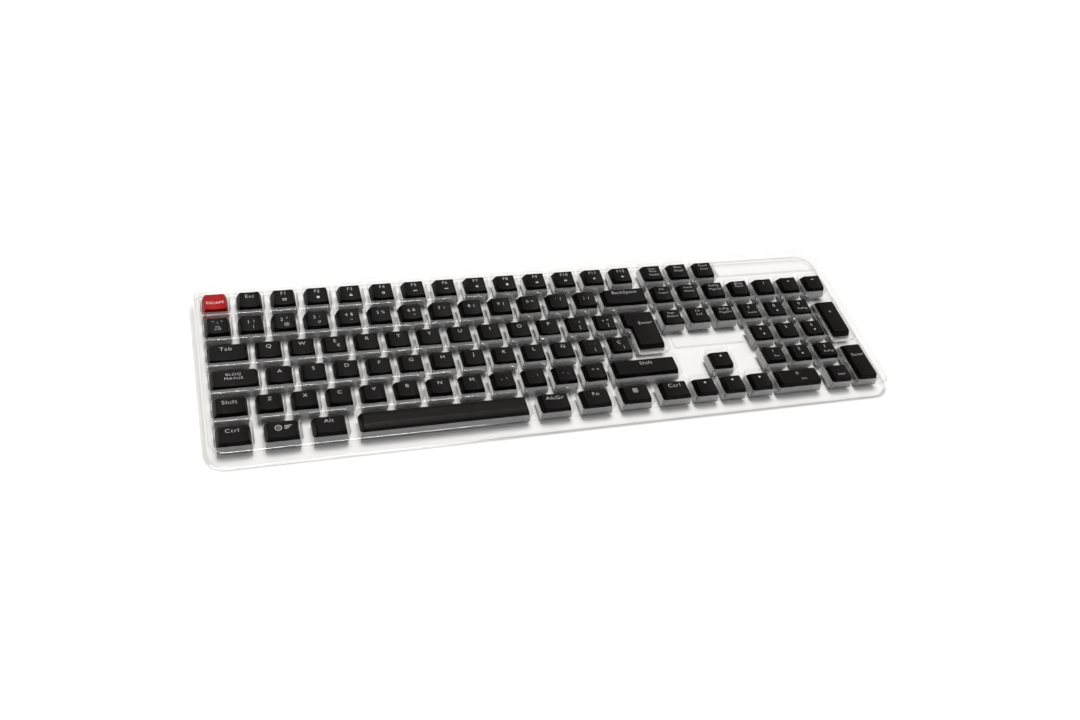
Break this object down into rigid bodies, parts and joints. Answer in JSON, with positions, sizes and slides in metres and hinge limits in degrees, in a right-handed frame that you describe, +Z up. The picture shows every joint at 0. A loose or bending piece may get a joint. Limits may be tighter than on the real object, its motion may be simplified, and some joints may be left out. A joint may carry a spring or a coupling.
{
  "type": "keycap set in a clear tray",
  "caption": "Black dished keycaps and one red cap for a full-size keyboard, standing in rows in a clear formed tray, each cap free to lift out.",
  "frame": {"origin": "middle of the whole set's footprint, on the surface that the tray stands on", "axes": "+X along the rows of keys towards the number pad, +Y away from the typist towards the function row, +Z up out of the pockets"},
  "size_m": [0.5134, 0.1594, 0.0151],
  "materials": {
    "clear_sheet": "clear glossy thermoformed PET sheet",
    "black_cap_plastic": "fine satin moulded ABS with light grey moulded-in legends",
    "red_cap_plastic": "satin moulded ABS with a light mark"
  },
  "bodies": {
    "tray": {"blister_tray": "clear_sheet"},
    "red_accent_cap": {"red_accent_cap": "red_cap_plastic"},
    "escape_cap": {"escape_cap": "black_cap_plastic"},
    "f1_f2_caps": {"f1_f2_caps": "black_cap_plastic"},
    "f3_f4_caps": {"f3_f4_caps": "black_cap_plastic"},
    "f5_f6_caps": {"f5_f6_caps": "black_cap_plastic"},
    "f7_f8_caps": {"f7_f8_caps": "black_cap_plastic"},
    "f9_f10_caps": {"f9_f10_caps": "black_cap_plastic"},
    "f11_f12_caps": {"f11_f12_caps": "black_cap_plastic"},
    "print_scroll_pause_caps": {"print_scroll_pause_caps": "black_cap_plastic"},
    "number_caps_ordinal_to_3": {"number_caps_ordinal_to_3": "black_cap_plastic"},
    "number_caps_4_to_7": {"number_caps_4_to_7": "black_cap_plastic"},
    "number_caps_8_to_0": {"number_caps_8_to_0": "black_cap_plastic"},
    "number_row_sign_caps": {"number_row_sign_caps": "black_cap_plastic"},
    "backspace_cap": {"backspace_cap": "black_cap_plastic"},
    "insert_home_pageup_caps": {"insert_home_pageup_caps": "black_cap_plastic"},
    "numlock_divide_caps": {"numlock_divide_caps": "black_cap_plastic"},
    "multiply_minus_caps": {"multiply_minus_caps": "black_cap_plastic"},
    "tab_cap": {"tab_cap": "black_cap_plastic"},
    "letter_caps_q_w_e": {"letter_caps_q_w_e": "black_cap_plastic"},
    "letter_caps_r_t_y": {"letter_caps_r_t_y": "black_cap_plastic"},
    "letter_caps_u_i_o_p": {"letter_caps_u_i_o_p": "black_cap_plastic"},
    "upper_row_sign_caps": {"upper_row_sign_caps": "black_cap_plastic"},
    "enter_cap": {"enter_cap": "black_cap_plastic"},
    "delete_end_pagedown_caps": {"delete_end_pagedown_caps": "black_cap_plastic"},
    "pad_caps_7_8_9": {"pad_caps_7_8_9": "black_cap_plastic"},
    "pad_plus_cap": {"pad_plus_cap": "black_cap_plastic"},
    "caps_lock_cap": {"caps_lock_cap": "black_cap_plastic"},
    "letter_caps_a_s_d": {"letter_caps_a_s_d": "black_cap_plastic"},
    "letter_caps_f_g_h": {"letter_caps_f_g_h": "black_cap_plastic"},
    "letter_caps_j_k_l": {"letter_caps_j_k_l": "black_cap_plastic"},
    "home_row_sign_caps": {"home_row_sign_caps": "black_cap_plastic"},
    "pad_caps_4_5_6": {"pad_caps_4_5_6": "black_cap_plastic"},
    "left_shift_cap": {"left_shift_cap": "black_cap_plastic"},
    "letter_caps_z_x_c": {"letter_caps_z_x_c": "black_cap_plastic"},
    "letter_caps_v_b_n_m": {"letter_caps_v_b_n_m": "black_cap_plastic"},
    "lower_row_sign_caps": {"lower_row_sign_caps": "black_cap_plastic"},
    "right_shift_cap": {"right_shift_cap": "black_cap_plastic"},
    "up_arrow_cap": {"up_arrow_cap": "black_cap_plastic"},
    "pad_caps_1_2_3": {"pad_caps_1_2_3": "black_cap_plastic"},
    "pad_enter_cap": {"pad_enter_cap": "black_cap_plastic"},
    "left_control_cap": {"left_control_cap": "black_cap_plastic"},
    "left_system_cap": {"left_system_cap": "black_cap_plastic"},
    "left_alt_cap": {"left_alt_cap": "black_cap_plastic"},
    "space_bar_cap": {"space_bar_cap": "black_cap_plastic"},
    "alt_gr_cap": {"alt_gr_cap": "black_cap_plastic"},
    "function_key_cap": {"function_key_cap": "black_cap_plastic"},
    "menu_cap": {"menu_cap": "black_cap_plastic"},
    "right_control_cap": {"right_control_cap": "black_cap_plastic"},
    "left_arrow_cap": {"left_arrow_cap": "black_cap_plastic"},
    "down_arrow_cap": {"down_arrow_cap": "black_cap_plastic"},
    "right_arrow_cap": {"right_arrow_cap": "black_cap_plastic"},
    "pad_zero_cap": {"pad_zero_cap": "black_cap_plastic"},
    "pad_point_cap": {"pad_point_cap": "black_cap_plastic"}
  },
  "joints": [
    {"name": "lift_red_accent_cap", "type": "slide", "parent": "tray", "child": "red_accent_cap", "axis": [0, 0, 1], "range_m": [0, 0.02]},
    {"name": "lift_escape_cap", "type": "slide", "parent": "tray", "child": "escape_cap", "axis": [0, 0, 1], "range_m": [0, 0.02]},
    {"name": "lift_f1_f2_caps", "type": "slide", "parent": "tray", "child": "f1_f2_caps", "axis": [0, 0, 1], "range_m": [0, 0.02]},
    {"name": "lift_f3_f4_caps", "type": "slide", "parent": "tray", "child": "f3_f4_caps", "axis": [0, 0, 1], "range_m": [0, 0.02]},
    {"name": "lift_f5_f6_caps", "type": "slide", "parent": "tray", "child": "f5_f6_caps", "axis": [0, 0, 1], "range_m": [0, 0.02]},
    {"name": "lift_f7_f8_caps", "type": "slide", "parent": "tray", "child": "f7_f8_caps", "axis": [0, 0, 1], "range_m": [0, 0.02]},
    {"name": "lift_f9_f10_caps", "type": "slide", "parent": "tray", "child": "f9_f10_caps", "axis": [0, 0, 1], "range_m": [0, 0.02]},
    {"name": "lift_f11_f12_caps", "type": "slide", "parent": "tray", "child": "f11_f12_caps", "axis": [0, 0, 1], "range_m": [0, 0.02]},
    {"name": "lift_print_scroll_pause_caps", "type": "slide", "parent": "tray", "child": "print_scroll_pause_caps", "axis": [0, 0, 1], "range_m": [0, 0.02]},
    {"name": "lift_number_caps_ordinal_to_3", "type": "slide", "parent": "tray", "child": "number_caps_ordinal_to_3", "axis": [0, 0, 1], "range_m": [0, 0.02]},
    {"name": "lift_number_caps_4_to_7", "type": "slide", "parent": "tray", "child": "number_caps_4_to_7", "axis": [0, 0, 1], "range_m": [0, 0.02]},
    {"name": "lift_number_caps_8_to_0", "type": "slide", "parent": "tray", "child": "number_caps_8_to_0", "axis": [0, 0, 1], "range_m": [0, 0.02]},
    {"name": "lift_number_row_sign_caps", "type": "slide", "parent": "tray", "child": "number_row_sign_caps", "axis": [0, 0, 1], "range_m": [0, 0.02]},
    {"name": "lift_backspace_cap", "type": "slide", "parent": "tray", "child": "backspace_cap", "axis": [0, 0, 1], "range_m": [0, 0.02]},
    {"name": "lift_insert_home_pageup_caps", "type": "slide", "parent": "tray", "child": "insert_home_pageup_caps", "axis": [0, 0, 1], "range_m": [0, 0.02]},
    {"name": "lift_numlock_divide_caps", "type": "slide", "parent": "tray", "child": "numlock_divide_caps", "axis": [0, 0, 1], "range_m": [0, 0.02]},
    {"name": "lift_multiply_minus_caps", "type": "slide", "parent": "tray", "child": "multiply_minus_caps", "axis": [0, 0, 1], "range_m": [0, 0.02]},
    {"name": "lift_tab_cap", "type": "slide", "parent": "tray", "child": "tab_cap", "axis": [0, 0, 1], "range_m": [0, 0.02]},
    {"name": "lift_letter_caps_q_w_e", "type": "slide", "parent": "tray", "child": "letter_caps_q_w_e", "axis": [0, 0, 1], "range_m": [0, 0.02]},
    {"name": "lift_letter_caps_r_t_y", "type": "slide", "parent": "tray", "child": "letter_caps_r_t_y", "axis": [0, 0, 1], "range_m": [0, 0.02]},
    {"name": "lift_letter_caps_u_i_o_p", "type": "slide", "parent": "tray", "child": "letter_caps_u_i_o_p", "axis": [0, 0, 1], "range_m": [0, 0.02]},
    {"name": "lift_upper_row_sign_caps", "type": "slide", "parent": "tray", "child": "upper_row_sign_caps", "axis": [0, 0, 1], "range_m": [0, 0.02]},
    {"name": "lift_enter_cap", "type": "slide", "parent": "tray", "child": "enter_cap", "axis": [0, 0, 1], "range_m": [0, 0.02]},
    {"name": "lift_delete_end_pagedown_caps", "type": "slide", "parent": "tray", "child": "delete_end_pagedown_caps", "axis": [0, 0, 1], "range_m": [0, 0.02]},
    {"name": "lift_pad_caps_7_8_9", "type": "slide", "parent": "tray", "child": "pad_caps_7_8_9", "axis": [0, 0, 1], "range_m": [0, 0.02]},
    {"name": "lift_pad_plus_cap", "type": "slide", "parent": "tray", "child": "pad_plus_cap", "axis": [0, 0, 1], "range_m": [0, 0.02]},
    {"name": "lift_caps_lock_cap", "type": "slide", "parent": "tray", "child": "caps_lock_cap", "axis": [0, 0, 1], "range_m": [0, 0.02]},
    {"name": "lift_letter_caps_a_s_d", "type": "slide", "parent": "tray", "child": "letter_caps_a_s_d", "axis": [0, 0, 1], "range_m": [0, 0.02]},
    {"name": "lift_letter_caps_f_g_h", "type": "slide", "parent": "tray", "child": "letter_caps_f_g_h", "axis": [0, 0, 1], "range_m": [0, 0.02]},
    {"name": "lift_letter_caps_j_k_l", "type": "slide", "parent": "tray", "child": "letter_caps_j_k_l", "axis": [0, 0, 1], "range_m": [0, 0.02]},
    {"name": "lift_home_row_sign_caps", "type": "slide", "parent": "tray", "child": "home_row_sign_caps", "axis": [0, 0, 1], "range_m": [0, 0.02]},
    {"name": "lift_pad_caps_4_5_6", "type": "slide", "parent": "tray", "child": "pad_caps_4_5_6", "axis": [0, 0, 1], "range_m": [0, 0.02]},
    {"name": "lift_left_shift_cap", "type": "slide", "parent": "tray", "child": "left_shift_cap", "axis": [0, 0, 1], "range_m": [0, 0.02]},
    {"name": "lift_letter_caps_z_x_c", "type": "slide", "parent": "tray", "child": "letter_caps_z_x_c", "axis": [0, 0, 1], "range_m": [0, 0.02]},
    {"name": "lift_letter_caps_v_b_n_m", "type": "slide", "parent": "tray", "child": "letter_caps_v_b_n_m", "axis": [0, 0, 1], "range_m": [0, 0.02]},
    {"name": "lift_lower_row_sign_caps", "type": "slide", "parent": "tray", "child": "lower_row_sign_caps", "axis": [0, 0, 1], "range_m": [0, 0.02]},
    {"name": "lift_right_shift_cap", "type": "slide", "parent": "tray", "child": "right_shift_cap", "axis": [0, 0, 1], "range_m": [0, 0.02]},
    {"name": "lift_up_arrow_cap", "type": "slide", "parent": "tray", "child": "up_arrow_cap", "axis": [0, 0, 1], "range_m": [0, 0.02]},
    {"name": "lift_pad_caps_1_2_3", "type": "slide", "parent": "tray", "child": "pad_caps_1_2_3", "axis": [0, 0, 1], "range_m": [0, 0.02]},
    {"name": "lift_pad_enter_cap", "type": "slide", "parent": "tray", "child": "pad_enter_cap", "axis": [0, 0, 1], "range_m": [0, 0.02]},
    {"name": "lift_left_control_cap", "type": "slide", "parent": "tray", "child": "left_control_cap", "axis": [0, 0, 1], "range_m": [0, 0.02]},
    {"name": "lift_left_system_cap", "type": "slide", "parent": "tray", "child": "left_system_cap", "axis": [0, 0, 1], "range_m": [0, 0.02]},
    {"name": "lift_left_alt_cap", "type": "slide", "parent": "tray", "child": "left_alt_cap", "axis": [0, 0, 1], "range_m": [0, 0.02]},
    {"name": "lift_space_bar_cap", "type": "slide", "parent": "tray", "child": "space_bar_cap", "axis": [0, 0, 1], "range_m": [0, 0.02]},
    {"name": "lift_alt_gr_cap", "type": "slide", "parent": "tray", "child": "alt_gr_cap", "axis": [0, 0, 1], "range_m": [0, 0.02]},
    {"name": "lift_function_key_cap", "type": "slide", "parent": "tray", "child": "function_key_cap", "axis": [0, 0, 1], "range_m": [0, 0.02]},
    {"name": "lift_menu_cap", "type": "slide", "parent": "tray", "child": "menu_cap", "axis": [0, 0, 1], "range_m": [0, 0.02]},
    {"name": "lift_right_control_cap", "type": "slide", "parent": "tray", "child": "right_control_cap", "axis": [0, 0, 1], "range_m": [0, 0.02]},
    {"name": "lift_left_arrow_cap", "type": "slide", "parent": "tray", "child": "left_arrow_cap", "axis": [0, 0, 1], "range_m": [0, 0.02]},
    {"name": "lift_down_arrow_cap", "type": "slide", "parent": "tray", "child": "down_arrow_cap", "axis": [0, 0, 1], "range_m": [0, 0.02]},
    {"name": "lift_right_arrow_cap", "type": "slide", "parent": "tray", "child": "right_arrow_cap", "axis": [0, 0, 1], "range_m": [0, 0.02]},
    {"name": "lift_pad_zero_cap", "type": "slide", "parent": "tray", "child": "pad_zero_cap", "axis": [0, 0, 1], "range_m": [0, 0.02]},
    {"name": "lift_pad_point_cap", "type": "slide", "parent": "tray", "child": "pad_point_cap", "axis": [0, 0, 1], "range_m": [0, 0.02]}
  ]
}
